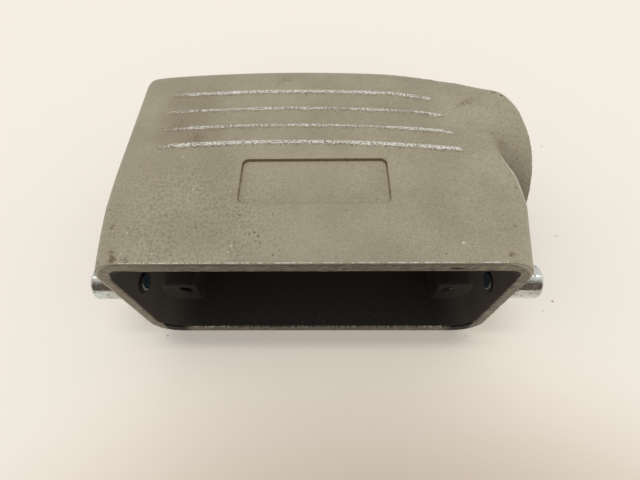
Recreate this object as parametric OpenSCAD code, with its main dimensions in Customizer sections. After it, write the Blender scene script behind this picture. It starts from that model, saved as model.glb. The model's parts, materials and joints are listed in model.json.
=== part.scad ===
// Hood of a rectangular heavy-duty cable connector, with a side cable entry and two locking pegs.
// X runs along the hood towards the cable entry, Y from the mating rim to the roof, Z up.
// The hood lies on one large face, and the origin is under the middle of the whole part.

/* [Rim] */
// Length of the mating rim, end to end
rim_length = 94; // [88:1:120]
// Thickness of the hood from one large face to the other
thickness = 43; // [42:0.5:50]
// Outer corner radius at the rim
rim_corner_r = 8; // [6:0.5:11]

/* [Body] */
// Height from the rim to the crown of the roof
roof_height = 64; // [60:1:80]
// Radius of the shallow arch of the roof, which the ribs repeat
arch_r = 330; // [250:10:600]
// Place of the arch's crown along the hood, from its middle
crown_x = -8; // [-15:1:5]
// Height of the shoulder, where the skirt ends
shoulder_height = 15; // [13:1:18]
// How far each end of the shoulder stands out past the rim
shoulder_flare = 1; // [0.5:0.1:2]
// Edge radius of the body at the shoulder
shoulder_edge_r = 2.5; // [1.5:0.5:4]
// Edge radius around the roof
roof_edge_r = 3; // [2:0.5:4]
// Radius of the roof's left corner
roof_corner_r = 4; // [3:0.5:6]
// How far the left end of the roof stands out past the shoulder
roof_flare = 1; // [0:0.1:2]
// How far the large faces fall towards the roof corner over the boss
corner_fall = 3.6; // [1:0.2:4]
// Place along the hood where that fall begins at the roof
fall_x = 16; // [8:1:24]
// How far the end wall under the cable boss leans in on its way to the roof
entry_lean = 7.6; // [5:0.2:10]

/* [Walls] */
// Wall at the two ends of the rim
end_wall = 2.5; // [2:0.1:3.5]
// Wall at the large faces of the rim
face_wall = 3.5; // [3:0.1:4]
// Wall at the thinnest place of the roof
roof_wall = 2.6; // [2:0.1:4]
// Draft of the cavity, in degrees
core_draft = 0.5; // [0.2:0.1:1]

/* [Cable entry] */
// Outer diameter of the cable boss
boss_d = 40; // [37:0.5:41]
// How far the boss stands out past the end of the rim
boss_proud = 7.7; // [5:0.1:12]
// Distance of the boss axis from the crown of the roof
boss_setback = 23; // [22:0.5:30]
// Edge radius where the roof runs out over the boss
boss_blend_r = 4.8; // [4:0.2:6]
// Distance from the boss's end face at which the roof edge has run out
boss_fade = 5; // [5:0.2:8]
// Edge radius where the boss leaves the roof
boss_root_r = 1; // [0.8:0.2:3]
// How far the boss's root lies under the body's faces
boss_root_inset = 0.2; // [0.2:0.1:1]
// How far the boss's root reaches past its axis towards the rim
boss_root_drop = 10; // [8:0.5:12]
// Nominal diameter of the cable entry's thread
entry_thread_d = 32; // [25:0.5:33]
// Pitch of the cable entry's thread
entry_pitch = 1.5; // [1:0.1:2]
// Lead-in chamfer of the cable entry
entry_chamfer = 1; // [0.5:0.1:1.5]

/* [Insert screws] */
// Spacing of the insert screws along the hood
screw_spacing_x = 77.5; // [74:0.5:79]
// Spacing of the insert screws across the hood
screw_spacing_z = 27; // [25:0.5:28]
// Core diameter of the tapped holes
screw_core_d = 3.3; // [2.5:0.1:4.2]
// Depth of the tapped holes
screw_depth = 10; // [6:1:16]
// Width of the countersink at each tapped hole's mouth
screw_mouth_d = 4.2; // [4.2:0.1:5]
// Depth of the screw posts' faces behind the rim
post_seat = 9.5; // [8:0.5:14]
// Metal from a screw's axis to the free sides of its post
post_margin = 3.6; // [3:0.1:5]

/* [Locking pegs] */
// Diameter of a peg's head
peg_d = 8.8; // [7:0.1:10]
// How far a peg stands out past the end of the rim
peg_reach = 9.5; // [8.5:0.1:14]
// Height of the peg axis above the rim
peg_height = 6.1; // [5.8:0.1:8]
// Chamfer at a peg's tip
peg_chamfer = 1; // [0.5:0.1:1.5]
// Diameter of the shank that is riveted through the end wall
shank_d = 4.8; // [4:0.1:6]
// Length of the riveted end that shows inside the hood
shank_proud = 0.4; // [0.2:0.1:1]
// Chamfer at the riveted end
shank_chamfer = 0.3; // [0.1:0.1:0.5]
// Gap all round the shank in its bore
shank_clearance = 0.02; // [0.01:0.01:0.1]
// Width of the flat seat left around a peg's head
seat_margin = 1; // [0.8:0.1:1.5]

/* [Ribs and plate] */
// Number of ribs on the upper face
rib_count = 4; // [2:1:4]
// Spacing of the ribs
rib_pitch = 6.4; // [4:0.1:7]
// Distance of the last rib from the crown of the roof
rib_setback = 10.9; // [8:0.1:14]
// Width of a rib at its foot
rib_width = 2.6; // [1.5:0.1:3]
// Height of a rib above the face
rib_height = 0.7; // [0.4:0.1:1]
// Height worn off the ribs' crests
rib_wear = 0.1; // [0.05:0.05:0.3]
// Distance of the ribs' ends from the body's ends
rib_margin = 8.5; // [6:0.5:14]
// Length of the recessed plate
plate_length = 34.6; // [20:0.5:50]
// Width of the recessed plate
plate_width = 13.3; // [8:0.5:14]
// Depth of the recessed plate
plate_depth = 0.6; // [0.3:0.1:1]
// Corner radius of the recessed plate
plate_corner_r = 1.5; // [0.5:0.1:3]
// Distance of the plate's middle from the rim
plate_height = 21.9; // [20:0.1:24]

/* [Hidden] */
rim_half = rim_length / 2;
mid_z = thickness / 2;
shoulder_half = rim_half + shoulder_flare;
// Height of the arched roof at a place along the hood
function roof_y(x) = roof_height - arch_r + sqrt(arch_r ^ 2 - (x - crown_x) ^ 2);
// End of the body on the boss side, at a height above the rim
lean_angle = atan(entry_lean / (roof_height - shoulder_height));
function entry_end(y) = shoulder_half - (y - shoulder_height) * tan(lean_angle);
// Cavity
core_depth = roof_y(entry_end(roof_height)) - roof_wall;
function core_inset(y) = y * tan(core_draft);
core_corner_r = rim_corner_r - end_wall;
core_left = rim_half - end_wall - core_inset(core_depth);
core_right = entry_end(core_depth) - end_wall - core_inset(core_depth);
// Cable entry
boss_end = rim_half + boss_proud;
boss_y = roof_height - boss_setback;
boss_root = entry_end(roof_height) - roof_edge_r;
// Half width of the boss where it leaves the roof, just under the falling faces
root_half = mid_z - boss_root_inset - corner_fall * (boss_root - fall_x) / (shoulder_half - fall_x);
// Depth of a metric thread, as a share of its pitch
thread_share = 0.54;
entry_r = entry_thread_d / 2 - thread_share * entry_pitch;
// Insert screws and the free sides of their posts
screw_x = screw_spacing_x / 2;
screw_z = screw_spacing_z / 2;
post_x = screw_x - post_margin;
post_z = screw_z - post_margin;
// Pegs
peg_tip = rim_half + peg_reach;
wall_inner = rim_half - end_wall - core_inset(peg_height);
shank_inner = wall_inner - shank_proud;
// Circle whose cap, standing out of the face, is a rib's section
rib_crest = rib_height + rib_wear;
rib_r = (rib_width ^ 2 / 4 + rib_crest ^ 2) / (2 * rib_crest);
// Overlap of cutters past the faces they open, and thickness of the slices a loft is made of
over = 1;
slice = 0.2;
// How far the round roof corner stands past the arch that trims it
loft_past = 0.5;
// Facets of lofts, balls, small holes, bores and the wide arch
hull_fn = 40;
ball_fn = 20;
hole_fn = 48;
bore_fn = 96;
arch_fn = 768;
cast_grey = [0.55, 0.55, 0.49];
zinc_grey = [0.72, 0.75, 0.78];

// Everything is drawn with the rim at Y 0, then centred on the origin
module centred() {
    translate([0, -roof_height / 2, 0]) children();
}

// Turns a shape drawn along Z so that it runs along X
module along_x() {
    rotate([0, 90, 0]) children();
}

// Four corner discs of a rounded slice across the hood, between two ends and two faces
module corners(x_low, x_high, z_inset, r, y) {
    for (x = [x_low + r, x_high - r], z = [z_inset + r, thickness - z_inset - r])
        translate([x, y + slice, z]) rotate([90, 0, 0]) cylinder(r = r, h = slice, $fn = hull_fn);
}

// Skirt that grows from the well rounded rim into the square shoulder, and runs on past the roof.
// Its left roof corner is round, and its faces fall a little towards the corner over the boss.
module skirt_loft() {
    left = -shoulder_half - roof_flare + roof_corner_r;
    hull() {
        corners(-rim_half, rim_half, 0, rim_corner_r, 0);
        corners(-shoulder_half, shoulder_half, 0, shoulder_edge_r, shoulder_height);
        for (z = [roof_corner_r, thickness - roof_corner_r])
            translate([left, roof_y(left) - roof_corner_r + loft_past, z])
                sphere(r = roof_corner_r, $fn = ball_fn);
        corners(-fall_x, fall_x, 0, shoulder_edge_r, roof_height + over);
        corners(fall_x, shoulder_half, corner_fall, shoulder_edge_r, roof_height + over);
    }
}

// Shallow drum whose rounded edge is the arched roof
module roof_drum() {
    translate([crown_x, roof_height - arch_r, 0]) rotate_extrude($fn = arch_fn) {
        square([arch_r - roof_edge_r, thickness]);
        translate([0, roof_edge_r]) square([arch_r, thickness - 2 * roof_edge_r]);
        for (z = [roof_edge_r, thickness - roof_edge_r])
            translate([arch_r - roof_edge_r, z]) circle(r = roof_edge_r, $fn = hull_fn);
    }
}

// Space beyond the end wall that leans in under the boss
module leaning_end() {
    translate([shoulder_half, shoulder_height, -over]) rotate([0, 0, lean_angle])
        cube([roof_height, 2 * roof_height, thickness + 2 * over]);
}

// Outside of the casting without its boss
module body_form() {
    difference() {
        intersection() {
            skirt_loft();
            roof_drum();
        }
        leaning_end();
    }
}

// Two balls of the boss's hull, one for each large face, with their tops at a height above the rim
module boss_balls(x, top_y, half_width, r) {
    for (side = [-1, 1])
        translate([x, top_y - r, mid_z + side * (half_width - r)]) sphere(r = r, $fn = ball_fn);
}

// Round boss of the cable entry, which grows out of the body's end and takes over its roof edges
module boss_form() {
    runout_x = boss_end - boss_fade;
    face_r = boss_blend_r - boss_root_inset;
    hull() {
        translate([boss_root, boss_y, mid_z]) along_x()
            cylinder(d = boss_d, h = boss_end - boss_root, $fn = 2 * hull_fn);
        boss_balls(runout_x, roof_y(runout_x) - boss_root_inset, boss_d / 2, boss_blend_r);
        boss_balls(boss_root, roof_y(boss_root) - boss_root_inset, root_half, boss_root_r);
        boss_balls(boss_root, boss_y - boss_root_drop + face_r, mid_z - boss_root_inset, face_r);
    }
}

// One rib on the upper face, an arc that repeats the roof's arch
module rib(y) {
    left = -shoulder_half + rib_margin;
    right = entry_end(y) - rib_margin;
    from = acos((right - crown_x) / arch_r);
    to = acos((left - crown_x) / arch_r);
    translate([crown_x, y - arch_r, thickness + rib_crest - rib_r])
        rotate_extrude(angle = to - from, start = from, $fn = arch_fn)
            translate([arch_r, 0]) circle(r = rib_r, $fn = ball_fn);
}

// All ribs, with their worn crests parallel to the face
module ribs() {
    intersection() {
        for (i = [0 : rib_count - 1]) rib(roof_height - rib_setback - i * rib_pitch);
        translate([0, 0, rib_height]) skirt_loft();
    }
}

// Shallow recess for a marking plate, left bare
module plate_recess() {
    straight = [plate_length - 2 * plate_corner_r, plate_width - 2 * plate_corner_r];
    translate([0, plate_height, thickness - plate_depth]) linear_extrude(plate_depth + over) {
        square([straight[0], plate_width], center = true);
        square([plate_length, straight[1]], center = true);
        for (x = [-1, 1], y = [-1, 1])
            translate([x * straight[0] / 2, y * straight[1] / 2]) circle(r = plate_corner_r, $fn = hole_fn);
    }
}

// Screw posts in the four corners, from their faces to the roof
module screw_posts() {
    for (x = [0, 1], z = [0, 1])
        translate([0, 0, mid_z]) mirror([x, 0, 0]) mirror([0, 0, z]) translate([post_x, post_seat, post_z])
            cube([shoulder_half, roof_height, thickness]);
}

// Hollow of the hood, with the screw posts left standing in it
module cavity() {
    mouth = rim_half - end_wall;
    neck_inset = core_inset(shoulder_height);
    neck = mouth - neck_inset;
    roof_inset = face_wall + core_inset(core_depth);
    difference() {
        hull() {
            for (y = [-over, 0]) corners(-mouth, mouth, face_wall, core_corner_r, y);
            corners(-neck, neck, face_wall + neck_inset, core_corner_r - neck_inset, shoulder_height);
            corners(-core_left, core_right, roof_inset, roof_edge_r, core_depth - slice);
        }
        screw_posts();
    }
}

// Tapped holes of the insert screws, with countersunk mouths
module screw_holes() {
    sink = (screw_mouth_d - screw_core_d) / 2;
    for (x = [-screw_x, screw_x], z = [-screw_z, screw_z])
        translate([x, post_seat, mid_z + z]) rotate([-90, 0, 0]) {
            translate([0, 0, -over]) cylinder(d = screw_core_d, h = screw_depth + over, $fn = hole_fn);
            cylinder(d1 = screw_mouth_d, d2 = screw_core_d, h = sink, $fn = hole_fn);
        }
}

// Threaded cable entry, drawn at the thread's core, from the boss's face into the cavity
module cable_entry() {
    lead_in = entry_chamfer + over;
    translate([0, boss_y, mid_z]) along_x() {
        translate([0, 0, post_x - over])
            cylinder(r = entry_r, h = boss_end - post_x + 2 * over, $fn = bore_fn);
        translate([0, 0, boss_end - entry_chamfer])
            cylinder(r1 = entry_r, r2 = entry_r + lead_in, h = lead_in, $fn = bore_fn);
    }
}

// Bore and flat seat for the peg at the right end
module peg_seat() {
    bore_length = rim_half - wall_inner + 2 * over;
    translate([0, peg_height, mid_z]) along_x() {
        translate([0, 0, wall_inner - over])
            cylinder(d = shank_d + 2 * shank_clearance, h = bore_length, $fn = bore_fn);
        translate([0, 0, rim_half])
            cylinder(r = peg_d / 2 + seat_margin, h = shoulder_flare + over, $fn = bore_fn);
    }
}

// Casting with its skirt, roof, ribs, boss and posts
module hood_shell() {
    color(cast_grey) centred() difference() {
        union() {
            body_form();
            boss_form();
            ribs();
        }
        cavity();
        screw_holes();
        cable_entry();
        plate_recess();
        peg_seat();
        mirror([1, 0, 0]) peg_seat();
    }
}

// Turned peg at the right end: chamfered head outside, thinner shank through the wall
module locking_peg() {
    color(zinc_grey) translate([0, peg_height, mid_z]) along_x() rotate_extrude($fn = bore_fn)
        polygon([
            [0, shank_inner],
            [shank_d / 2 - shank_chamfer, shank_inner],
            [shank_d / 2, shank_inner + shank_chamfer],
            [shank_d / 2, rim_half],
            [peg_d / 2, rim_half],
            [peg_d / 2, peg_tip - peg_chamfer],
            [peg_d / 2 - peg_chamfer, peg_tip],
            [0, peg_tip]
        ]);
}

module right_locking_peg() {
    centred() locking_peg();
}

module left_locking_peg() {
    centred() mirror([1, 0, 0]) locking_peg();
}

hood_shell();
left_locking_peg();
right_locking_peg();
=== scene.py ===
import json
import math

import bmesh
import bpy
import numpy as np
from mathutils import Matrix, Vector, noise


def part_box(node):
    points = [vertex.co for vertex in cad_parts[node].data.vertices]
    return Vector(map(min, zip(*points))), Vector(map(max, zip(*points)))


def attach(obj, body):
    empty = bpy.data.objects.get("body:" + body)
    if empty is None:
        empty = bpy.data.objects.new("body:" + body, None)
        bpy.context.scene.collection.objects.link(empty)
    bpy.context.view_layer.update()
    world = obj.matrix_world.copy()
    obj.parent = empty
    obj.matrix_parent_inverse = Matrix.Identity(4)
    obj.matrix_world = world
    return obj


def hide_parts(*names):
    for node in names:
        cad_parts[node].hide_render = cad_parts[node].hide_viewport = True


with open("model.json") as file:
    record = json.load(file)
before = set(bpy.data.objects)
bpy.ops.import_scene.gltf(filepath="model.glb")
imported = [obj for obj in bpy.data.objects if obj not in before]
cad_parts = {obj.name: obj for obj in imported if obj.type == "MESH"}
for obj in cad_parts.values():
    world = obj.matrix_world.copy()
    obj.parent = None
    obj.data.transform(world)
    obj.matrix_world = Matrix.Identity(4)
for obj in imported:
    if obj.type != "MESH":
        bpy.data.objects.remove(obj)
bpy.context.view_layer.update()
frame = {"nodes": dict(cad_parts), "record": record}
mm = 0.001
scene = bpy.context.scene
scene.view_settings.view_transform = "Standard"
mounts = {m["name"]: m for m in frame["record"]["mounts"]}
hoodLow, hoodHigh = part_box("hood_shell")
print("frame: %d nodes, hood %.1f mm long" % (len(frame["nodes"]), (hoodHigh.x - hoodLow.x) / mm))


# one wrapper for node sockets, used by the finishes and by the geometry trees
class Wire:
    def __init__(self, tree, socket=None):
        self.tree = tree
        self.socket = socket

    def make(self, kind, settings=None, inputs=None, out=0):
        node = self.tree.nodes.new(kind)
        for name, value in (settings or {}).items():
            setattr(node, name, value)
        for name, value in (inputs or {}).items():
            if isinstance(value, Wire):
                self.tree.links.new(value.socket, node.inputs[name])
            else:
                node.inputs[name].default_value = value
        return Wire(self.tree, node.outputs[out])

    def calc(self, operation, a, b=0.0):
        return self.make("ShaderNodeMath", {"operation": operation}, {0: a, 1: b})

    def most(self, other):
        return self.calc("MAXIMUM", self, other)

    def least(self, other):
        return self.calc("MINIMUM", self, other)

    def __abs__(self):
        return self.calc("ABSOLUTE", self)

    def __add__(self, other):
        return self.calc("ADD", self, other)

    def __sub__(self, other):
        return self.calc("SUBTRACT", self, other)

    def __rsub__(self, other):
        return self.calc("SUBTRACT", other, self)

    def __mul__(self, other):
        return self.calc("MULTIPLY", self, other)

    def __truediv__(self, other):
        return self.calc("DIVIDE", self, other)

    __radd__ = __add__
    __rmul__ = __mul__


# short forms of the nodes that the finishes use most
def rise(value, low, high, start=0.0, end=1.0):
    return value.make("ShaderNodeMapRange", {"interpolation_type": "SMOOTHSTEP"},
                      {"Value": value, "From Min": low, "From Max": high, "To Min": start, "To Max": end})


def blendColour(factor, first, second):
    return factor.make("ShaderNodeMix", {"data_type": "RGBA"}, {0: factor, 6: first, 7: second}, out=2)


def shade(colour, factor):
    # a colour made lighter or darker by a varying factor
    return factor.make("ShaderNodeVectorMath", {"operation": "SCALE"}, {"Vector": colour, "Scale": factor})


def axes(place):
    first = place.make("ShaderNodeSeparateXYZ", None, {0: place})
    return [Wire(place.tree, socket) for socket in first.socket.node.outputs]


def grain(place, scale, detail=2.0, rough=0.5, stretch=(1, 1, 1)):
    moved = place.make("ShaderNodeMapping", None, {"Vector": place, "Scale": stretch})
    return place.make("ShaderNodeTexNoise", None,
                      {"Vector": moved, "Scale": scale, "Detail": detail, "Roughness": rough})


def chips(place, scale):
    # grain that runs long across y and z, for chipped edges
    return grain(place, scale, 4, 0.75, (1, 0.2, 0.2))


def dots(place, scale, radius, share, shift):
    # round spots in a share of the cells of a jittered grid
    moved = place.make("ShaderNodeMapping", None, {"Vector": place, "Location": (shift, shift, shift)})
    cells = {"Vector": moved, "Scale": scale}
    near = place.make("ShaderNodeTexVoronoi", None, cells)
    pick = place.make("ShaderNodeTexVoronoi", None, cells, out=1)
    chosen, size = axes(pick)[:2]
    reach = (0.4 + size * 0.6) * (radius * scale)
    return rise(near / reach, 1.0, 0.6) * rise(chosen, share + 0.01, share)


def spots(flat, marks):
    # a field of soft round marks: place across the face, radius and strength
    field = None
    for px, py, radius, strength in marks:
        spot = rise(distance(flat, (px, py, 0)), radius, 0.0, 0.0, strength)
        field = field.most(spot) if field else spot
    return field


def newFinish(name):
    material = bpy.data.materials.new(name)
    material.use_nodes = True
    tree = material.node_tree
    spot = Wire(tree).make("ShaderNodeTexCoord", out=3)
    place = spot.make("ShaderNodeVectorMath", {"operation": "SCALE"}, {"Vector": spot, "Scale": 1 / mm})
    return material, tree.nodes["Principled BSDF"], place


def connect(shader, **sockets):
    for name, value in sockets.items():
        target = shader.inputs[name.replace("_", " ")]
        if isinstance(value, Wire):
            value.tree.links.new(value.socket, target)
        else:
            target.default_value = value


def flattened(place):
    # the place as seen from above
    return place.make("ShaderNodeVectorMath", {"operation": "MULTIPLY"}, {0: place, 1: (1, 1, 0)})


def distance(place, centre):
    return place.make("ShaderNodeVectorMath", {"operation": "DISTANCE"}, {0: place, 1: centre}, out=1)


def bumped(height, depth):
    # a bump whose height of 1 is a depth in mm
    return height.make("ShaderNodeBump", None, {"Height": height, "Strength": 1.0, "Distance": depth * mm})


# camera, fitted to the photograph
cameraView = {
    "place": (2.4, -67.3, 110.6),
    "pitch": 58.78, "yaw": -1.43, "roll": 1.44,
    "focalPixels": 377.0, "imageWidth": 640,
}


def makeCamera(view):
    pitch, yaw, roll = (math.radians(view[k]) for k in ("pitch", "yaw", "roll"))
    forward = Vector((math.sin(yaw) * math.cos(pitch), math.cos(yaw) * math.cos(pitch), -math.sin(pitch)))
    level = Vector((math.cos(yaw), -math.sin(yaw), 0))
    down = forward.cross(level)
    right = level * math.cos(roll) + down * math.sin(roll)
    below = down * math.cos(roll) - level * math.sin(roll)
    data = bpy.data.cameras.new("photoCamera")
    data.sensor_fit = "HORIZONTAL"
    data.lens = data.sensor_width * view["focalPixels"] / view["imageWidth"]
    data.clip_start = 5 * mm
    camera = bpy.data.objects.new("photoCamera", data)
    turned = Matrix((right, -below, -forward)).transposed().to_4x4()
    camera.matrix_world = Matrix.Translation(Vector(view["place"]) * mm) @ turned
    scene.collection.objects.link(camera)
    scene.camera = camera


makeCamera(cameraView)
print("camera: lens %.1f mm" % scene.camera.data.lens)


# form of the hood that its relief and wear follow, in mm
form = {
    "archRadius": 330, "crownX": -8, "roofY": hoodHigh.y / mm, "faceZ": 43,
    "ribCount": 4, "ribPitch": 6.4, "ribSetback": 10.9, "ribHalf": 1.3, "ribHeight": 0.42,
    "ribBow": 0.33, "ribBowShare": 0.82, "ribLeft": -39.5, "ribRight": 36.9, "ribLean": 0.155,
    "plateY": -10.1, "plateHalf": (17.3, 6.65), "plateCorner": 1.5, "plateDepth": 0.7, "plateWall": 0.12,
    "fall": 3.6, "fallX": 13.5, "fallWide": 32, "fallY": -17, "fallTall": 50,
    "foldX": 48, "foldLean": 0.155, "foldLow": -17, "foldMiddle": -8.5,
    "hollowX": 45.4, "hollowZ": (3.2, 39.8), "hollowY": (-31.9, 26.3), "hollowSoft": 0.2,
}


def smooth(value, low, high):
    t = np.clip((value - low) / (high - low), 0, 1)
    return t * t * (3 - 2 * t)


def hump(value, middle, spread):
    return np.exp(-((value - middle) / spread) ** 2)


def ribOffset(x, y):
    # distance across the nearest rib, and how far inside its ends a point lies
    arch = form["roofY"] - form["archRadius"] + np.sqrt(form["archRadius"] ** 2 - (x - form["crownX"]) ** 2)
    across = (arch - form["ribSetback"] - y) / form["ribPitch"]
    index = np.clip(np.round(across), 0, form["ribCount"] - 1)
    right = form["ribRight"] - form["ribLean"] * np.clip(y, 0, None)
    middle = index - (form["ribCount"] - 1) / 2
    bow = form["ribBow"] * (1 - form["ribBowShare"] * middle ** 2)
    return (across - index) * form["ribPitch"] - bow, np.minimum(x - form["ribLeft"], right - x)


def plateOffset(x, y):
    # distance outside the rounded outline of the recessed plate
    corner = form["plateCorner"]
    dx = np.abs(x) - form["plateHalf"][0] + corner
    dy = np.abs(y - form["plateY"]) - form["plateHalf"][1] + corner
    outside = np.hypot(np.clip(dx, 0, None), np.clip(dy, 0, None))
    return outside + np.minimum(np.maximum(dx, dy), 0) - corner


def faceHeight(x, y):
    # the upper face falls a little towards the corner over the boss
    past = (x - form["fallX"]) / form["fallWide"] + (y - form["fallY"]) / form["fallTall"] - 1
    return form["faceZ"] - form["fall"] * np.clip(past, 0, None)


def foldOffset(x, y):
    # distance past the fold where the upper face turns into the leaning end
    return x - form["foldX"] + form["foldLean"] * (y - form["foldLow"])


def insideHood(x, y, z):
    lowZ, highZ = form["hollowZ"]
    lowY, highY = form["hollowY"]
    return (np.abs(x) < form["hollowX"]) & (z > lowZ) & (z < highZ) & (y > lowY) & (y < highY)


# casting of the hood
casting = {
    "voxel": 0.38, "triangles": 182000, "touch": 1e-5,
    "skinRounds": 22, "crispShare": 0.12, "foldShare": 0.15, "foldNear": 4, "foldTop": 9, "foldBottom": 30,
    "bossRounds": 70, "bossX": (33, 39), "bossY": (12, 22),
    "shoulderRounds": 50, "shoulderX": (36, 43), "shoulderY": (-17, 3.5),
    # room for the threads, and how far a flat face runs long before it is machined
    "threadRoot": 16.2, "threadCrest": 15.19, "threadSlack": 0.1, "threadX": 30,
    "screwRoot": 2.0, "drillShare": (0.9, 1.05), "overrun": 1.5,
    "rimChamfer": 0.3, "bossChamfer": 0.45, "chamferSlack": 0.01, "faceTilt": -0.95,
    # the left end flares towards the rim and is tucked in above it
    "leftX": (38, 44), "leftFlare": 0.5, "flareY": (-18, -32), "leftTuck": 0.2, "tuckY": (-15, 5),
    # fills over the boss, with the middle and spread of each, and the bow of the fold
    "fillY": (16, 24), "fillZ": (24, 32), "shoulderFill": 0.45, "shoulderMiddle": (41, 4.5),
    "cornerFill": 0.4, "cornerMiddle": (54, 2),
    "foldBow": 0.8, "bowSpread": 5.5, "bowZ": (10, 41), "bowShift": 1, "bowReach": (5, 1),
    # relief of the upper face: where it is cut finer, and where it blends into the skin
    "plateCuts": 3, "plateNear": 0.55, "ribCuts": 1, "ribNear": 0.2, "endNear": -0.5, "faceNear": 1.4,
    "crestHalf": 0.15, "crestEnd": 1.8, "endBlend": (-1.6, -0.4), "ribBlend": (2.6, 2.0), "plateBlend": (2.0, 1.2),
}


def places(mesh):
    values = np.empty(len(mesh.vertices) * 3, np.float32)
    mesh.vertices.foreach_get("co", values)
    return values.reshape(-1, 3).astype(float).T / mm


def directions(mesh):
    values = np.empty(len(mesh.vertices) * 3, np.float32)
    mesh.vertex_normals.foreach_get("vector", values)
    return values.reshape(-1, 3).astype(float).T


def movePlaces(mesh, x, y, z):
    mesh.vertices.foreach_set("co", (np.stack((x, y, z), 1) * mm).astype(np.float32).ravel())
    mesh.update()


def plainMesh(piece):
    # bakes the piece's modifiers into its mesh
    graph = bpy.context.evaluated_depsgraph_get()
    mesh = bpy.data.meshes.new_from_object(piece.evaluated_get(graph))
    piece.modifiers.clear()
    piece.data = mesh
    return mesh


def weightGroup(piece, name, weights, levels=20):
    group = piece.vertex_groups.new(name=name)
    steps = np.round(weights * levels).astype(int)
    for step in range(1, levels + 1):
        chosen = np.nonzero(steps == step)[0]
        if len(chosen):
            group.add(chosen.tolist(), step / levels, "REPLACE")


def openBores(bm, spec):
    # makes room for the threads, and lets the flat faces run long before they are machined
    entry = Vector(mounts["cable_entry"]["pos_m"])
    screws = mounts["insert_screws"]
    level = screws["pos_m"][2]
    spread = (screws["dims"]["spacing_x_mm"] / 2 * mm, screws["dims"]["spacing_y_mm"] / 2 * mm)
    drill = screws["dims"]["hole_r_mm"] * mm
    least, most = (share * drill for share in spec["drillShare"])
    crest, root = spec["threadCrest"] - spec["threadSlack"], spec["threadRoot"] + spec["threadSlack"]
    for vert in bm.verts:
        arm = Vector((0, vert.co.y - entry.y, vert.co.z - entry.z))
        if vert.co.x > spec["threadX"] * mm and crest < arm.length / mm < root:
            vert.co.yz = (entry + arm.normalized() * spec["threadRoot"] * mm).yz
        middle = Vector((math.copysign(spread[0], vert.co.x), vert.co.y,
                         level + math.copysign(spread[1], vert.co.z - level)))
        arm = vert.co - middle
        if least < arm.length < most:
            vert.co = middle + arm.normalized() * spec["screwRoot"] * mm
        if vert.co.x > hoodHigh.x - spec["touch"]:
            vert.co.x += spec["overrun"] * mm
        if vert.co.y < hoodLow.y + spec["touch"]:
            vert.co.y -= spec["overrun"] * mm


def relaxSkin(piece, spec):
    # rounds the casting's edges, least where the photograph shows them crisp
    x, y, z = places(piece.data)
    inside = insideHood(x, y, z)
    onFold = (np.abs(foldOffset(x, y)) < spec["foldNear"]) & (y < spec["foldTop"]) & (z > spec["foldBottom"])
    skin = np.where(inside, spec["crispShare"], 1.0)
    skin[onFold & ~inside] = spec["foldShare"]
    boss = smooth(x, *spec["bossX"]) * smooth(y, *spec["bossY"]) * ~inside
    shoulder = smooth(-x, *spec["shoulderX"]) * hump(y, *spec["shoulderY"]) * ~inside
    for name, weights in (("skin", skin), ("boss", boss), ("shoulder", shoulder)):
        weightGroup(piece, name, weights)
        relax = piece.modifiers.new(name, "SMOOTH")
        relax.vertex_group = name
        relax.factor = 0.5
        relax.iterations = spec[name + "Rounds"]
    plainMesh(piece)
    piece.vertex_groups.clear()


def fitSkin(mesh, spec):
    # small moves that bring the outline to the photograph's
    x, y, z = places(mesh)
    nx, ny, nz = directions(mesh)
    flare = spec["leftFlare"] * smooth(y, *spec["flareY"]) - spec["leftTuck"] * hump(y, *spec["tuckY"])
    x = x - smooth(-x, *spec["leftX"]) * flare
    outside = ~insideHood(x, y, z)
    overBoss = smooth(y, *spec["fillY"]) * smooth(z, *spec["fillZ"]) * outside
    fill = overBoss * (spec["shoulderFill"] * hump(x, *spec["shoulderMiddle"])
                       + spec["cornerFill"] * hump(x, *spec["cornerMiddle"]))
    bow = spec["foldBow"] * hump(y, form["foldMiddle"], spec["bowSpread"]) * smooth(z, *spec["bowZ"]) * outside
    bow = bow * smooth(np.abs(foldOffset(x, y) + spec["bowShift"]), *spec["bowReach"])
    movePlaces(mesh, x + fill * nx + bow, y + fill * ny, z + fill * nz)


def carveFace(mesh, spec):
    # gives the ribs and the recessed plate their clean relief
    x, y, z = places(mesh)
    ribs, inEnds = ribOffset(x, y)
    onFace = z > faceHeight(x, y) - spec["faceNear"]
    pairs = np.empty(len(mesh.edges) * 2, np.int32)
    mesh.edges.foreach_get("vertices", pairs)
    pairs = pairs.reshape(-1, 2)
    onPlate = np.abs(plateOffset(x, y)) < spec["plateNear"]
    onRib = (np.abs(ribs) < form["ribHalf"] + spec["ribNear"]) & (inEnds > spec["endNear"])
    zones = ((spec["plateCuts"], onFace & onPlate), (spec["ribCuts"], onFace & onRib))
    bm = bmesh.new()
    bm.from_mesh(mesh)
    bm.edges.ensure_lookup_table()
    picked = [(cuts, [bm.edges[i] for i in np.nonzero(zone[pairs].all(1))[0]]) for cuts, zone in zones]
    for cuts, edges in picked:
        bmesh.ops.subdivide_edges(bm, edges=edges, cuts=cuts, use_grid_fill=True)
    bm.to_mesh(mesh)
    bm.free()
    x, y, z = places(mesh)
    ribs, inEnds = ribOffset(x, y)
    plate = plateOffset(x, y)
    crest = smooth(np.abs(ribs), form["ribHalf"], spec["crestHalf"]) * smooth(inEnds, 0, spec["crestEnd"])
    relief = form["ribHeight"] * crest - form["plateDepth"] * smooth(plate, form["plateWall"], -form["plateWall"])
    nearRib = smooth(inEnds, *spec["endBlend"]) * smooth(np.abs(ribs), *spec["ribBlend"])
    base = faceHeight(x, y)
    near = np.maximum(nearRib, smooth(plate, *spec["plateBlend"])) * (z > base - spec["faceNear"])
    movePlaces(mesh, x, y, z + near * (base + relief - z))


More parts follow.
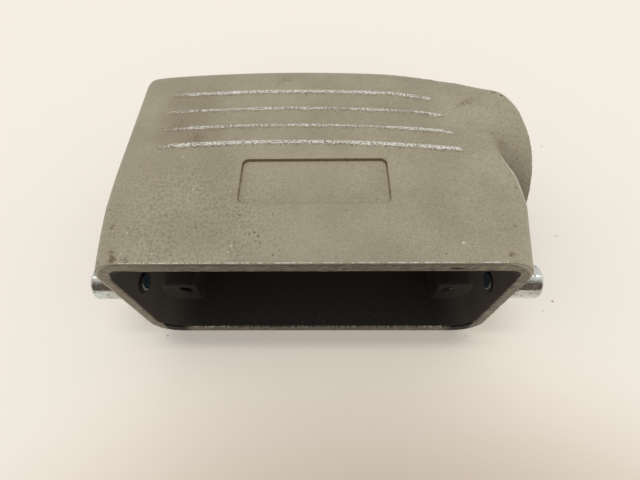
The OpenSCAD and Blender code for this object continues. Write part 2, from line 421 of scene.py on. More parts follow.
def machineFlat(bm, place, outward, chamfer):
    # cuts a flat face across the casting and breaks its edges a little unevenly
    for depth in (chamfer, 0):
        geometry = bm.verts[:] + bm.edges[:] + bm.faces[:]
        cut = bmesh.ops.bisect_plane(bm, geom=geometry, dist=1e-7, plane_co=place - outward * depth,
                                     plane_no=outward, clear_outer=depth == 0)
    rim = [e for e in cut["geom_cut"] if isinstance(e, bmesh.types.BMEdge)]
    bm.normal_update()
    moves = {}
    for vert in {v for e in rim for v in e.verts}:
        sideways = vert.normal - outward * vert.normal.dot(outward)
        uneven = 0.75 + 0.5 * noise.noise(vert.co / (1.5 * mm))
        moves[vert] = vert.co - sideways.normalized() * chamfer * uneven
    for vert, spot in moves.items():
        vert.co = spot
    bmesh.ops.triangle_fill(bm, use_beauty=True, edges=rim, normal=outward)
    for edge in rim:
        edge.smooth = False


def castHood(spec, finishes):
    piece = frame["nodes"]["hood_shell"].copy()
    piece.data = piece.data.copy()
    piece.name = piece.data.name = "hoodCasting"
    piece.parent = None
    scene.collection.objects.link(piece)
    for key in list(piece.keys()):
        del piece[key]
    bm = bmesh.new()
    bm.from_mesh(piece.data)
    bmesh.ops.remove_doubles(bm, verts=bm.verts, dist=1e-6)
    openBores(bm, spec)
    bm.to_mesh(piece.data)
    bm.free()
    skin = piece.modifiers.new("skin", "REMESH")
    skin.mode = "VOXEL"
    skin.voxel_size = spec["voxel"] * mm
    print("hood: %d points after the remesh" % len(plainMesh(piece).vertices))
    relaxSkin(piece, spec)
    fitSkin(piece.data, spec)
    carveFace(piece.data, spec)
    thin = piece.modifiers.new("thin", "DECIMATE")
    thin.ratio = min(1, spec["triangles"] / sum(len(p.vertices) - 2 for p in piece.data.polygons))
    mesh = plainMesh(piece)
    mesh.materials.clear()
    for finish in finishes:
        mesh.materials.append(finish)

    bm = bmesh.new()
    bm.from_mesh(mesh)
    machineFlat(bm, Vector((0, hoodLow.y, 0)), Vector((0, -1, 0)), spec["rimChamfer"] * mm)
    machineFlat(bm, Vector((hoodHigh.x, 0, 0)), Vector((1, 0, 0)), spec["bossChamfer"] * mm)
    bmesh.ops.triangulate(bm, faces=[f for f in bm.faces if len(f.verts) > 3])
    bm.normal_update()
    rimDepth = hoodLow.y + (spec["rimChamfer"] + spec["chamferSlack"]) * mm
    for face in bm.faces:
        face.smooth = True
        onRim = all(v.co.y < rimDepth for v in face.verts)
        arm = face.calc_center_median() - Vector((0, 0, hoodHigh.z / 2))
        outerEdge = face.normal.y > spec["faceTilt"] and face.normal.x * arm.x + face.normal.z * arm.z > 0
        face.material_index = 1 if onRim and not outerEdge else 0
    bm.to_mesh(mesh)
    bm.free()
    return piece


# hammered grey paint, with its wear
paint = {
    "pale": (0.322, 0.291, 0.210, 1), "deep": (0.284, 0.255, 0.181, 1), "dentShade": (0.205, 0.178, 0.122, 1),
    "smudged": (0.208, 0.166, 0.106, 1), "brown": (0.096, 0.054, 0.017, 1), "shadeAndSoot": (0.115, 0.094, 0.062, 1),
    "bare": (0.72, 0.71, 0.68, 1), "pit": (0.040, 0.031, 0.019, 1), "inner": (0.026, 0.022, 0.018, 1),
    "dentShadeShare": 0.52, "smudgeShare": 0.5, "foldShadeShare": 0.82, "dirtAndShadeShare": 0.85, "freckleShare": 0.55,
    "pitShare": 0.8, "ribDirtShare": 0.7, "speckShare": 0.85, "dustShare": 0.35,
    # tone of the upper face, coarser and paler towards the right as painted light over the boss, darker across its
    # lower middle
    "upperZ": (33, 36), "level": 0.952, "coarseX": (-5, 25), "coarseGain": 1.55, "litX": (30, 46),
    "shadeY": (-2, -20), "shadeFrom": (-32, 5), "shadeTo": (46, 40),
    "hammered": (-28, -22, 43), "hammerReach": (30, 9), "dentPitch": 1.05,
    # worn ribs: where the wear starts and ends, how wide it is and how much of it is bare
    "wearLeft": 1.2, "wearRight": 1.5, "outerStart": 1.3, "lowerEnd": 0.6,
    "wearHalf": 0.55, "outerHalf": 0.16, "patchHalf": 0.25, "darkMargin": 0.3,
    "wearGain": 0.224, "edgeGain": 0.016, "patchGain": 0.10, "rightX": (8, 28), "wornFrom": (0.77, 0.80),
    "darkBelow": 0.475,
    # painted shade with soot past the fold, dirt on the boss, grime with painted shade round the plate, painted shade
    # and bare chips at the mouth's upper edge, and bare metal with a painted highlight along the fold
    "foldShadeReach": (-0.5, 0.8), "foldShadeFade": (13, 2), "foldShadeY": (12, -11), "bowHalf": 10,
    "freckleX": (37, 47), "freckleY": (-12, -4), "plateZ": (41.8, 42.0), "plateTopShade": (-8, -4),
    "lipShade": (0.24, 0.08), "lipShadeZ": (38, 40),
    "lipPlace": 0.28, "lipHalf": (0.14, 0.05), "lipZ": (40.5, 41.5), "lipX": (41, 39),
    "foldPlace": -0.6, "foldHalf": (0.3, 0.08), "foldFrom": (0, -6), "foldTo": (-22, -16), "foldZ": (36.0, 38.0),
    # inside of the hood
    "endWallLightX": (34, 45), "boreReach": (17.0, 16.7), "boreStart": (34, 35), "boreEnd": (54.4, 54.1),
    "dustZ": (4.6, 4.0), "dustY": (-16, -30),
}

# marks that the photograph shows on the upper face: place, radius and strength
faceMarks = {
    "smudge": [(-37, 17.0, 7, 0.75), (-33.5, 17.0, 7, 0.8), (-30, 17.2, 7.5, 0.85), (-38, 10.8, 7, 0.8),
               (-34, 10.6, 7, 0.9), (-30.5, 11.0, 7.5, 0.85), (-37.5, 5, 7, 0.8), (-33, 4.8, 7, 1.0),
               (-29, 5.2, 8, 1.0), (-25.5, 5.6, 6, 0.8), (-38, -5, 14, 0.4), (46, 2, 6, 0.5)],
    "grime": [(-8.8, 27.2, 6.0, 0.95), (-10.3, 25, 4.5, 0.85), (-41, 26.5, 3.5, 0.7), (9, 27.7, 3.5, 0.6),
              (38.8, 17.1, 3.2, 0.95), (40.3, 17.9, 3.2, 1.0), (41.6, 18.6, 3.4, 1.05), (43, 19.5, 3.0, 0.95),
              (42.5, 16.8, 2.4, 0.8), (40, 9.7, 3.0, 0.8), (41.5, 12.5, 3.5, 0.6), (44.5, 6, 4, 0.8), (46.5, 2, 5, 0.9),
              (-43.4, -22.8, 2.4, 1.0), (-42.9, -25, 2.4, 0.9), (-42.2, -27.2, 2.2, 0.7), (-42.0, -29.2, 2.4, 1.1),
              (-41.4, -30.8, 2.4, 1.4), (-38.5, -31.4, 2.4, 1.1), (-45.2, -30.8, 1.8, 1.2), (42.9, -22.8, 2.2, 0.9),
              (42.4, -25.2, 2.2, 0.7), (40.4, -30.0, 2.2, 1.1), (41, -31.6, 1.8, 1.0), (-35, 9, 9, 0.9),
              (-30, 4, 7, 1.0)],
    "pits": [(-13.7, -24.8, 0.26, 1), (-12.6, -24.4, 0.33, 1), (-11.7, -25.3, 0.33, 1), (-12.1, -26.5, 0.23, 1),
             (-11.2, -27, 0.26, 1), (-16.6, -27, 0.23, 1), (-8.3, -29.9, 0.28, 1), (-16.2, -19.9, 0.26, 1),
             (51.6, 21.4, 0.72, 1), (50, 22.6, 0.64, 1), (49.2, 22.9, 0.48, 1), (46.0, -12.4, 0.35, 1)],
    "scuffs": [(31.2, -27.3, 1.3, 0.48), (-39.9, -24.4, 0.31, 1),
               (-39.7, -29.5, 0.25, 1), (-33.3, -29.6, 0.25, 1), (-17.6, -29.2, 0.25, 1), (-17.2, -27.7, 0.25, 1),
               (-32.1, -2.6, 0.25, 1), (-27.8, -12.5, 0.25, 1)],
}


def ribWear(x, y, sparkle, spec):
    # speckled bare metal along the ribs' crests, widest on the first and the last
    square = (x - form["crownX"]) * (x - form["crownX"])
    arch = x.calc("SQRT", form["archRadius"] ** 2 - square) + (form["roofY"] - form["archRadius"])
    across = (arch - form["ribSetback"] - y) / form["ribPitch"]
    index = x.calc("ROUND", across).most(0.0).least(form["ribCount"] - 1.0)
    middle = index - (form["ribCount"] - 1) / 2
    bow = (1.0 - middle * middle * form["ribBowShare"]) * form["ribBow"]
    offset = abs((across - index) * form["ribPitch"] - bow)
    outer = rise(abs(middle), 0.5, 1.5)
    fromLeft = x - (form["ribLeft"] - spec["wearLeft"]) - outer * spec["outerStart"]
    fromRight = form["ribRight"] - spec["wearRight"] - y.most(0.0) * form["ribLean"] - x + middle * spec["lowerEnd"]
    along = x.make("ShaderNodeCombineXYZ", None, {0: x * 0.11, 1: index * 3.7})
    patchy = x.make("ShaderNodeTexNoise", None, {"Vector": along, "Scale": 1.0, "Detail": 2.0})
    wide = spec["wearHalf"] + outer * spec["outerHalf"] + (patchy - 0.5) * spec["patchHalf"]
    ends = rise(fromLeft, -1.0, 8.0, 0.75, 1.0) * rise(fromLeft, -0.2, 0.8) * rise(fromRight, -0.8, 0.8)
    core = rise(wide - offset, -0.5, 0.3) * ends
    edge = outer + (1.0 - outer) * rise(x, *spec["rightX"])
    gain = spec["wearGain"] + edge * spec["edgeGain"] + patchy * spec["patchGain"]
    worn = rise(core * gain + sparkle, *spec["wornFrom"])
    dark = rise(spec["darkBelow"] - sparkle, 0.0, 0.03) * rise(wide + spec["darkMargin"] - offset, -0.3, 0.2) * ends
    return worn, dark


def plateGrimeAndShade(x, y):
    # grime and painted shade along the outline of the recessed plate, least at its lower edge
    corner = form["plateCorner"]
    dx = abs(x) - (form["plateHalf"][0] - corner)
    dy = abs(y - form["plateY"]) - (form["plateHalf"][1] - corner)
    outX, outY = dx.most(0.0), dy.most(0.0)
    offset = x.calc("SQRT", outX * outX + outY * outY) + dx.most(dy).least(0.0) - corner
    lower = form["plateY"] - form["plateHalf"][1]
    return rise(abs(offset + 0.05), 0.26, 0.06) * rise(y, lower - 0.5, lower + 3.0)


def dentField(place, flat, spec):
    # round dents of the hammered skin, strongest about one place
    cell = place.make("ShaderNodeTexVoronoi", {"voronoi_dimensions": "2D"},
                      {"Vector": flat, "Scale": spec["dentPitch"], "Randomness": 0.85})
    strength = rise(distance(place, spec["hammered"]), *spec["hammerReach"], 0.16, 1.15)
    return rise(cell, 0.5, 0.12) * (strength * rise(grain(place, 0.16, 2), 0.3, 0.6, 0.5, 1.0))


def hollowMask(x, y, z, spec):
    # the hollow behind the mouth, and the bore of the cable entry
    soft = form["hollowSoft"]
    hollow = rise(abs(x), form["hollowX"], form["hollowX"] - soft)
    for value, (low, high) in ((y, form["hollowY"]), (z, form["hollowZ"])):
        hollow = hollow.least(rise(value, low, low + soft)).least(rise(value, high, high - soft))
    entry = mounts["cable_entry"]["pos_m"]
    across = x.make("ShaderNodeCombineXYZ", None, {1: y, 2: z})
    arm = distance(across, (0, entry[1] / mm, entry[2] / mm))
    return hollow.most(rise(arm, *spec["boreReach"]) * rise(x, *spec["boreStart"]) * rise(x, *spec["boreEnd"]))


def hoodPaint(spec):
    material, bsdf, place = newFinish("hoodPaint")
    x, y, z = axes(place)
    flat = flattened(place)
    upper = rise(z, *spec["upperZ"])
    cloud = grain(place, 0.05, 3, 0.6)
    mottle = grain(place, 1.15, 4, 0.65)
    speck = grain(place, 1.9, 5, 0.8)
    fine = grain(place, 2.7, 2, 0.6)
    sparkle = grain(place, 4.0, 3, 0.75)

    # the paint itself, its smudges, and painted shade with some soot past the fold
    coarse = rise(x, *spec["coarseX"], 1.0, spec["coarseGain"])
    # paler over the boss as painted light
    tone = spec["level"] + rise(x, *spec["litX"]) * 0.07 + cloud * 0.09
    tone = tone + ((mottle - 0.5) * 0.36 + (fine - 0.5) * 0.6) * coarse
    tone = tone - rise(y, *spec["shadeY"]) * rise(x, *spec["shadeFrom"]) * rise(x, *spec["shadeTo"]) * 0.05
    colour = blendColour(rise(cloud, 0.35, 0.65), spec["deep"], spec["pale"])
    dents = dentField(place, flat, spec) * upper
    # the dents are darkened in colour as painted shade in their dimples
    colour = blendColour(dents * spec["dentShadeShare"], colour, spec["dentShade"])
    smudge = spots(flat, faceMarks["smudge"]) * upper + (cloud - 0.5) * 0.8 + (mottle - 0.5) * 1.1
    colour = blendColour(rise(smudge, 0.1, 0.95) * spec["smudgeShare"], colour, spec["smudged"])
    past = x - form["foldX"] + (y - form["foldLow"]) * form["foldLean"]
    bow = rise(abs(y - form["foldMiddle"]), spec["bowHalf"], 0) * casting["foldBow"]
    # painted shade with a little soot on the boss past the fold, darkest towards the front
    foldShadeAndSoot = rise(past - bow, *spec["foldShadeReach"]) * rise(past, *spec["foldShadeFade"], 0.25, 1.0)
    foldShadeAndSoot = foldShadeAndSoot * rise(y, *spec["foldShadeY"]) * (0.8 + mottle * 0.4)
    colour = blendColour(foldShadeAndSoot * spec["foldShadeShare"], colour, spec["shadeAndSoot"])
    colour = shade(colour, tone)

    # dirt and pits, and painted shade along the plate's upper edge
    dirtAndPlateShade = rise(spots(flat, faceMarks["grime"]) * upper * 0.24 + speck * 0.4 + fine * 0.6, 0.73, 0.78)
    freckles = dots(place, 1.0, 0.38, 0.7, 7.0) * rise(x, *spec["freckleX"]) * rise(y, *spec["freckleY"])
    # grime with painted shade along the plate's recess, strongest at its upper edge
    outline = plateGrimeAndShade(x, y) * rise(z, *spec["plateZ"]) * (rise(y, *spec["plateTopShade"], 0.1, 0.45) + speck * 1.2)
    dirtAndPlateShade = dirtAndPlateShade.most(freckles * spec["freckleShare"]).most(outline)
    colour = blendColour(dirtAndPlateShade * spec["dirtAndShadeShare"], colour, spec["brown"])
    pits = rise(spots(flat, faceMarks["pits"]) * upper + (speck - 0.5), 0.15, 0.4)
    pits = dots(place, 0.6, 0.17, 0.65, 3.0).most(pits)
    colour = blendColour(pits * spec["pitShare"], colour, spec["pit"])

    # bare metal on the ribs, the mouth's upper edge and in small specks, and a worn edge with a painted highlight along
    # the fold
    ribs, ribDirt = ribWear(x, y, speck * 0.2 + fine * 0.4 + sparkle * 0.4, spec)
    onFace = rise(z, form["faceZ"] - 2.4, form["faceZ"] - 1.8)
    colour = blendColour(ribDirt * onFace * spec["ribDirtShare"], colour, spec["pit"])
    fromRim = y - hoodLow.y / mm
    # painted shade: a dark band along the mouth's upper chamfer
    colour = blendColour(rise(fromRim, *spec["lipShade"]) * rise(z, *spec["lipShadeZ"]) * 0.7, colour, spec["shadeAndSoot"])
    lip = rise(abs(fromRim - spec["lipPlace"]), *spec["lipHalf"]) * rise(z, *spec["lipZ"]) * rise(abs(x), *spec["lipX"])
    lip = rise(lip * 0.42 + chips(place, 1.0), 0.87, 0.95) * 0.8
    # a worn edge and painted highlight along the fold
    foldWearAndHighlight = rise(abs(past - spec["foldPlace"] - bow), *spec["foldHalf"]) * rise(z, *spec["foldZ"])
    foldWearAndHighlight = foldWearAndHighlight * rise(y, *spec["foldFrom"]) * rise(y, *spec["foldTo"])
    specks = rise(spots(flat, faceMarks["scuffs"]) * upper + speck, 0.85, 1.0)
    specks = dots(place, 0.45, 0.14, 0.45, 11.0).most(specks)
    bare = (ribs * onFace).most(lip).most(foldWearAndHighlight * (speck * 0.6)).most(specks * spec["speckShare"])
    colour = blendColour(bare, colour, spec["bare"])

    # the dark inside, paler towards its end walls as painted light, with some dust
    hollow = hollowMask(x, y, z, spec)
    # paler towards the end walls as painted light
    depth = rise(abs(x), *spec["endWallLightX"], 0.45, 1.9) + mottle * 0.5
    colour = blendColour(hollow, colour, shade(spec["inner"][:3], depth))
    dust = dots(place, 1.1, 0.12, 0.7, 13.0) * hollow * rise(z, *spec["dustZ"]) * rise(y, *spec["dustY"])
    colour = blendColour(dust * spec["dustShare"], colour, spec["bare"])

    height = (mottle - 0.5) * 0.45 + (fine - 0.5) * 0.10 - dents * 0.7 - pits * 1.2 + ribs * (speck - 0.5) * 1.2
    connect(bsdf, Base_Color=colour, Roughness=0.46 + mottle * 0.12 - bare * 0.08 + hollow * 0.3,
            Normal=bumped(height, 0.13), IOR=1.45)
    return material


# rim face, dressed with a file
rimFace = {
    "pale": (0.250, 0.212, 0.155, 1), "dark": (0.046, 0.036, 0.024, 1), "bright": (0.70, 0.68, 0.64, 1),
    "hole": (0.010, 0.009, 0.008, 1), "edge": (0.36, 0.335, 0.265, 1),
    "strokeLong": 0.5, "strokeFine": 2.2, "strokeLean": 0.27, "strokeFan": 0.0078,
    "endX": (24, 46), "boldX": (25, 44), "boldGain": 0.35, "boldDrop": 0.23, "topShadeZ": (41.8, 42.5),
    "burrZ": 3.35, "burrAndGlintHalf": (0.3, 0.1), "burrX": (38, 36), "burrShare": 0.5,
    # at each upper corner: side, then centre and radius of the hood's paint along the outer edge, paler as a painted
    # highlight, and of the mouth's corner, painted dark as shade
    "corners": [(-1, (39.0, 35.0), 8.0, (41.2, 37.2), 2.85), (1, (38.0, 34.0), 8.8, (41.3, 36.85), 2.85)],
    "cornerX": (36, 40), "edgeSoft": 0.15, "mouthSoft": 0.1, "edgeShare": 0.8,
    # chips out of the rim, painted as dark spots of shade: place and half size
    "nicks": [((29.6, 40.75), (1.5, 0.36)), ((-42.7, 37.0), (1.1, 2.2))],
}


def cornerReach(x, z, centre):
    # distance from a rounded corner's centre, nought on its inner side
    aside, up = (x - centre[0]).most(0.0), (z - centre[1]).most(0.0)
    return x.calc("SQRT", aside * aside + up * up)


def filedRim(spec):
    material, bsdf, place = newFinish("filedRim")
    x, _, z = axes(place)
    across = z - x * (x * spec["strokeFan"] + spec["strokeLean"])
    fanned = place.make("ShaderNodeCombineXYZ", None, {0: x * spec["strokeLong"], 2: across * spec["strokeFine"]})
    stroke = grain(fanned, 1.0, 3, 0.65)
    worn = grain(place, 0.35, 4, 0.65)
    bold = rise(x, *spec["boldX"])
    tone = rise(stroke, 0.40, 0.60) * (0.6 + bold * spec["boldGain"]) - bold * spec["boldDrop"]
    # the rim is darker along its top edge as painted shade
    tone = tone + rise(abs(x), *spec["endX"]) * 0.28 + (worn - 0.5) * 0.4 - rise(z, *spec["topShadeZ"]) * 0.25
    colour = blendColour(tone.most(0.0).least(1.0), spec["dark"], spec["pale"])
    # pores and chips painted dark as their shade, and the mouth's corners squared off in black as painted shade of the
    # opening
    holes = dots(place, 0.6, 0.25, 0.35, 5.0) * 0.6
    for (px, pz), (rx, rz) in spec["nicks"]:
        aside, up = (x - px) / rx, (z - pz) / rz
        holes = holes.most(rise(aside * aside + up * up, 1.2, 0.7))
    soft, mouthSoft = spec["edgeSoft"], spec["mouthSoft"]
    edge = None
    for side, outer, outerReach, inner, innerReach in spec["corners"]:
        near = rise(x * side, *spec["cornerX"])
        painted = rise(cornerReach(x * side, z, outer), outerReach - soft, outerReach + soft) * near
        edge = edge.most(painted) if edge else painted
        mouth = rise(cornerReach(x * side, z, inner), innerReach + mouthSoft, innerReach - mouthSoft)
        holes = holes.most(mouth * near)
    # the hood's paint along the rim's outer edge, a little paler as a painted highlight
    colour = blendColour(edge * spec["edgeShare"], colour, spec["edge"])
    # painted shade of the pores, the chips and the mouth's corners
    colour = blendColour(holes, colour, spec["hole"])
    burrAndGlint = rise(abs(z - spec["burrZ"]), *spec["burrAndGlintHalf"]) * rise(abs(x), *spec["burrX"])
    burrAndGlint = rise(burrAndGlint * 0.4 + chips(place, 1.6), 0.88, 0.95)
    colour = blendColour(burrAndGlint * spec["burrShare"], colour, spec["bright"])
    connect(bsdf, Base_Color=colour, Metallic=0.25 + holes * 0.75, Roughness=0.42 + stroke * 0.2,
            Normal=bumped(stroke - holes, 0.06))
    return material


hood = castHood(casting, [hoodPaint(paint), filedRim(rimFace)])
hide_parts("hood_shell")
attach(hood, "root")
print("hood: %d triangles" % len(hood.data.polygons))


# zinc-plated pegs, turned on a lathe
peg = {
    "segments": 96, "arcSteps": 6, "crease": 35,
    "shank": 2.4, "headLong": 9.5, "seatBreak": 0.3, "tipRound": 1.0, "dome": 0.25, "domeFlat": 0.8,
    "plate": (0.64, 0.69, 0.68, 1), "dull": (0.47, 0.48, 0.45, 1), "spot": (0.07, 0.05, 0.03, 1), "spotShare": 0.9,
    # the riveted end inside the hood, darkened as painted shade: its start, its radius, the painted shadow round it and
    # the painted glint on it
    "inwardX": (46.5, 45.5), "rivet": 2.1, "shadedBlue": (0.022, 0.042, 0.054, 1), "rivetShadow": (0.014, 0.012, 0.011, 1),
    "burrAndGlint": (0.66, 0.64, 0.52, 1), "glintIn": 0.15, "burrAndGlintHalf": (0.2, 0.08), "glintY": (-0.9, -1.5),
}


def zincPlate(spec):
    material, bsdf, place = newFinish("zincPlate")
    x, y, z = axes(place)
    drawn = grain(place, 1.0, 3, 0.6, (0.35, 2.5, 2.5))
    bloom = grain(place, 0.45, 4, 0.65)
    pits = dots(place, 1.2, 0.26, 0.9, 2.0).most(dots(place, 1.5, 0.22, 0.75, 6.0))
    grit = grain(place, 2.2, 3, 0.7)
    freckles = rise(grain(place, 1.8, 5, 0.8), 0.57, 0.66) * 0.75
    axis = mounts["right_peg"]["pos_m"]
    up, aside = z - axis[2] / mm, y - axis[1] / mm
    inward = rise(abs(x), *spec["inwardX"])
    arm = x.calc("SQRT", up * up + aside * aside)
    shadow = rise(arm, spec["rivet"] - 0.05, spec["rivet"] + 0.1) * inward
    # a painted glint along the rivet's front edge
    burrAndGlint = rise(abs(arm - spec["rivet"] + spec["glintIn"]), *spec["burrAndGlintHalf"]) * rise(aside, *spec["glintY"])
    burrAndGlint = burrAndGlint * rise(bloom, 0.40, 0.52) * inward
    colour = blendColour(rise(bloom, 0.42, 0.68), spec["plate"], spec["dull"])
    # the riveted end darkened as painted shade, in a blue tint
    colour = blendColour(inward, colour, spec["shadedBlue"])
    colour = blendColour(pits.most(freckles) * spec["spotShare"], colour, spec["spot"])
    colour = blendColour(shadow, colour, spec["rivetShadow"])
    colour = blendColour(burrAndGlint, colour, spec["burrAndGlint"])
    connect(bsdf, Base_Color=colour, Metallic=1.0 - (pits * 0.5).most(inward * 0.8),
            Roughness=0.08 + bloom * 0.12 + pits * 0.3 + shadow * 0.4,
            Normal=bumped(drawn + grit * 0.5 - pits * 2.0, 0.016))
    return material


def pegProfile(spec, node):
    # points along the axis and their radius, from the riveted end to the tip
    low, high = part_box(node)
    inner, tip = sorted((abs(low.x), abs(high.x)))
    head = mounts["right_peg"]["dims"]["r_mm"] * mm
    lengths = ("shank", "headLong", "seatBreak", "tipRound", "dome")
    shank, headLong, seatBreak, tipRound, dome = (spec[k] * mm for k in lengths)
    seat, domeFlat = tip - headLong, spec["domeFlat"]
    quarter = [math.radians(90 * k / spec["arcSteps"]) for k in range(spec["arcSteps"] + 1)]
    points = [(inner, 0.0), (inner, shank * 0.45)]
    points += [(inner + dome * (1 - math.cos(a)), shank * (domeFlat + (1 - domeFlat) * math.sin(a))) for a in quarter]
    points += [(seat, shank), (seat, head - seatBreak), (seat + seatBreak, head)]
    points += [(tip - tipRound * (1 - math.sin(a)), head - tipRound * (1 - math.cos(a))) for a in quarter]
    points += [(tip, head * 0.5), (tip, 0.0)]
    return points


def turnPeg(node, side, spec, finish):
    axis = Vector(mounts["right_peg"]["pos_m"])
    bm = bmesh.new()
    rings = []
    for along, radius in pegProfile(spec, node):
        ring = []
        for k in range(spec["segments"] if radius else 1):
            a = 2 * math.pi * k / spec["segments"]
            ring.append(bm.verts.new((side * along, axis.y + radius * math.cos(a), axis.z + radius * math.sin(a))))
        rings.append(ring)
    for first, second in zip(rings, rings[1:]):
        count = max(len(first), len(second))
        for k in range(count):
            n = (k + 1) % count
            corners = [first[k % len(first)], first[n % len(first)], second[n % len(second)], second[k % len(second)]]
            bm.faces.new(list(dict.fromkeys(corners)))
    bmesh.ops.recalc_face_normals(bm, faces=bm.faces)
    for face in bm.faces:
        face.smooth = True
    for edge in bm.edges:
        edge.smooth = edge.calc_face_angle(0) < math.radians(spec["crease"])
    mesh = bpy.data.meshes.new(node + "Turned")
    bm.to_mesh(mesh)
    bm.free()
    mesh.materials.append(finish)
    piece = bpy.data.objects.new(node + "Turned", mesh)
    scene.collection.objects.link(piece)
    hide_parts(node)
    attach(piece, "root")


zinc = zincPlate(peg)
turnPeg("left_locking_peg", -1, peg, zinc)
turnPeg("right_locking_peg", 1, peg, zinc)
print("pegs: turned and plated")


# threads of the cable entry and of the four insert screws
threads = {
    "entry": {"pitch": 1.5, "depth": 1.05, "start": 40.5, "length": 12.9},
    "screw": {"pitch": 0.7, "depth": 0.4, "start": 0.6, "length": 8.6},
    "steps": 64, "toothFoot": 0.92, "toothTip": 0.2,
    "bare": (0.24, 0.23, 0.21, 1), "dull": (0.10, 0.09, 0.08, 1), "screwHoleShade": (0.012, 0.011, 0.010, 1), "screwShadeX": (38, 36),
}


def bareThread(spec):
    material, bsdf, place = newFinish("bareThread")
    tone = grain(place, 0.9, 4, 0.65)
    colour = blendColour(rise(tone, 0.35, 0.65), spec["dull"], spec["bare"])
    # the screw threads, deep in their holes, darkened as painted shade
    colour = blendColour(rise(axes(place)[0], *spec["screwShadeX"]), colour, spec["screwHoleShade"])
    connect(bsdf, Base_Color=colour, Metallic=0.8, Roughness=0.35 + tone * 0.2, Normal=bumped(tone, 0.03))
    return material


def threadTree(spec):
    tree = bpy.data.node_groups.new("threadTurns", "GeometryNodeTree")
    face = tree.interface
    face.new_socket("Holes", in_out="INPUT", socket_type="NodeSocketGeometry")
    for name in ("Crest", "Depth", "Pitch", "Length"):
        face.new_socket(name, in_out="INPUT", socket_type="NodeSocketFloat")
    face.new_socket("Turn", in_out="INPUT", socket_type="NodeSocketRotation")
    face.new_socket("Metal", in_out="INPUT", socket_type="NodeSocketMaterial")
    face.new_socket("Threads", in_out="OUTPUT", socket_type="NodeSocketGeometry")
    source = tree.nodes.new("NodeGroupInput")
    given = {s.name: Wire(tree, s) for s in source.outputs if s.name}
    wire = Wire(tree)
    middle = given["Crest"] + given["Depth"] * 0.5
    helix = wire.make("GeometryNodeCurveSpiral", None, {
        "Resolution": spec["steps"], "Rotations": given["Length"] / given["Pitch"],
        "Start Radius": middle, "End Radius": middle, "Height": given["Length"]})
    upright = wire.make("GeometryNodeSetCurveNormal", {"mode": "Z_UP"}, {"Curve": helix})
    tooth = wire.make("GeometryNodeCurvePrimitiveQuadrilateral", {"mode": "TRAPEZOID"}, {
        "Height": given["Depth"], "Bottom Width": given["Pitch"] * spec["toothFoot"],
        "Top Width": given["Pitch"] * spec["toothTip"], "Offset": 0.0})
    turned = wire.make("GeometryNodeTransform", None, {"Geometry": tooth, "Rotation": (0, 0, math.radians(90))})
    turns = wire.make("GeometryNodeCurveToMesh", None, {"Curve": upright, "Profile Curve": turned, "Fill Caps": True})
    placed = wire.make("GeometryNodeInstanceOnPoints", None, {
        "Points": given["Holes"], "Instance": turns, "Rotation": given["Turn"]})
    real = wire.make("GeometryNodeRealizeInstances", None, {"Geometry": placed})
    dressed = wire.make("GeometryNodeSetMaterial", None, {"Geometry": real, "Material": given["Metal"]})
    sink = tree.nodes.new("NodeGroupOutput")
    tree.links.new(dressed.socket, sink.inputs["Threads"])
    return tree


def cutThread(name, tree, metal, holes, crest, spec, turn):
    mesh = bpy.data.meshes.new(name)
    mesh.from_pydata([tuple(h) for h in holes], [], [])
    piece = bpy.data.objects.new(name, mesh)
    scene.collection.objects.link(piece)
    cut = piece.modifiers.new(name, "NODES")
    cut.node_group = tree
    values = {"Crest": crest * mm, "Depth": spec["depth"] * mm, "Pitch": spec["pitch"] * mm,
              "Length": spec["length"] * mm, "Turn": turn, "Metal": metal}
    for item in tree.interface.items_tree:
        if item.in_out == "INPUT" and item.name in values:
            cut[item.identifier] = values[item.name]
    plainMesh(piece)
    bm = bmesh.new()
    bm.from_mesh(piece.data)
    bmesh.ops.recalc_face_normals(bm, faces=bm.faces)
    bm.to_mesh(piece.data)
    bm.free()
    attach(piece, "root")
    print("%s: %d faces" % (name, len(piece.data.polygons)))


def screwHoles(spec):
    screws = mounts["insert_screws"]
    middle, dims = Vector(screws["pos_m"]), screws["dims"]
    for sx in (-0.5, 0.5):
        for sz in (-0.5, 0.5):
            yield middle + Vector((sx * dims["spacing_x_mm"], spec["start"], sz * dims["spacing_y_mm"])) * mm


turnsTree = threadTree(threads)
threadMetal = bareThread(threads)
entryPlace = Vector(mounts["cable_entry"]["pos_m"])
cutThread("entryThread", turnsTree, threadMetal,
          [Vector((threads["entry"]["start"] * mm, entryPlace.y, entryPlace.z))],
          mounts["cable_entry"]["dims"]["r_mm"], threads["entry"], (0, math.radians(90), 0))
cutThread("screwThreads", turnsTree, threadMetal, list(screwHoles(threads["screw"])),
          mounts["insert_screws"]["dims"]["hole_r_mm"], threads["screw"], (math.radians(-90), 0, 0))


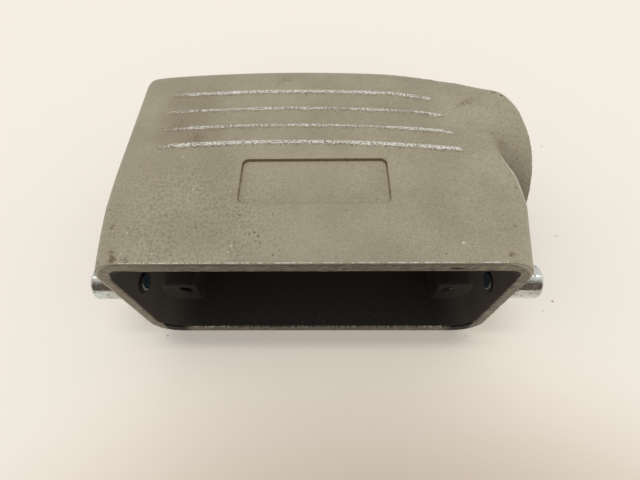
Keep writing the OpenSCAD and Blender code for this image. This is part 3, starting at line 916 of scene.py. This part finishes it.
# floor, light and surroundings
stage = {
    "floor": (0.89, 0.85, 0.80, 1), "floorHalf": 6.0, "floorGap": 0.02,
    # painted light and shadow on the floor in front of the hood: a warmer, paler patch and a darker patch further out
    "lightAndShadowPatches": [{"tint": (0.935, 0.866, 0.79, 1), "middle": (12, -100), "reach": (90, 58), "squeeze": 0.85},
                {"tint": (0.565, 0.483, 0.395, 1), "middle": (21, -101), "reach": (68, 15), "squeeze": 0.5}],
    "speckTint": (0.16, 0.10, 0.06, 1), "speckShare": 0.75,
    "specks": [(-44.7, -33.5, 0.5, 0.7), (72.8, -22.8, 0.6, 0.9), (43.9, -33.6, 0.45, 0.6),
               (89.1, 43.0, 1.4, 0.3), (81.6, 1.0, 1.6, 0.3), (69.0, -26.1, 1.0, 0.3)],
    "lampHeight": 1.6, "lampLean": 4.9, "lampSize": (0.9, 0.10), "lampWatts": 4.4, "lampColour": (1.0, 0.975, 0.93),
    "sky": (1.0, 0.975, 0.93, 1), "skyLevel": 0.872, "skyFall": 0.75, "skyMiddle": 0.66,
    "backdrop": (0.86, 0.82, 0.77, 1), "unlit": (0.135, 0.098, 0.072, 1), "unlitReach": (0.02, 0.62),
    "tubeLean": 0.15, "tubeHalf": (0.1, 0.04), "tubeLevel": 1.2, "tubeAbove": (0.5, 0.6),
}


def makeFloor(spec):
    h, low = spec["floorHalf"], -spec["floorGap"] * mm
    mesh = bpy.data.meshes.new("floor")
    mesh.from_pydata([(-h, -h, low), (h, -h, low), (h, h, low), (-h, h, low)], [], [(0, 1, 2, 3)])
    floor = bpy.data.objects.new("floor", mesh)
    scene.collection.objects.link(floor)
    material, bsdf, place = newFinish("paleFloor")
    x, y = axes(place)[:2]
    colour = spec["floor"]
    # painted light and painted shadow on the floor
    for patch in spec["lightAndShadowPatches"]:
        px, py = patch["middle"]
        arm = place.make("ShaderNodeCombineXYZ", None, {0: (x - px) * patch["squeeze"], 1: y - py})
        colour = blendColour(rise(distance(arm, (0, 0, 0)), *patch["reach"]), colour, patch["tint"])
    specks = rise(spots(flattened(place), spec["specks"]), 0.1, 0.6, 0.0, spec["speckShare"])
    colour = blendColour(specks, colour, spec["speckTint"])
    connect(bsdf, Base_Color=colour, Roughness=0.75)
    mesh.materials.append(material)


def makeLamp(spec):
    lamp = bpy.data.lights.new("ceilingPanel", "AREA")
    lamp.shape = "RECTANGLE"
    lamp.size, lamp.size_y = spec["lampSize"]
    lamp.energy = spec["lampWatts"]
    lamp.color = spec["lampColour"]
    panel = bpy.data.objects.new("ceilingPanel", lamp)
    lean = Matrix.Rotation(math.radians(-spec["lampLean"]), 4, "X")
    panel.matrix_world = lean @ Matrix.Translation((0, 0, spec["lampHeight"]))
    scene.collection.objects.link(panel)


def makeRoom(spec):
    world = bpy.data.worlds.new("room")
    world.use_nodes = True
    scene.world = world
    heading = Wire(world.node_tree).make("ShaderNodeTexCoord")
    _, y, z = axes(heading)
    camera, mirrored, through = (heading.make("ShaderNodeLightPath", out="Is %s Ray" % kind)
                                 for kind in ("Camera", "Glossy", "Transmission"))
    seen = camera.most(mirrored).most(through)
    sky = spec["skyLevel"] * (1 + spec["skyFall"] * (spec["skyMiddle"] - z))
    # reflections also show the unlit front of the room, and the long lamp under its ceiling
    unlit = rise(0.0 - y, *spec["unlitReach"]) * mirrored
    tube = rise(abs(y - z * spec["tubeLean"]), *spec["tubeHalf"]) * rise(z, *spec["tubeAbove"])
    tube = tube * mirrored * spec["tubeLevel"]
    shown = blendColour(unlit, spec["backdrop"], spec["unlit"])
    connect(world.node_tree.nodes["Background"], Color=blendColour(seen, spec["sky"], shown),
            Strength=sky + seen * (1.0 + tube - sky))


makeFloor(stage)
makeLamp(stage)
makeRoom(stage)
print("stage: floor, panel and room")
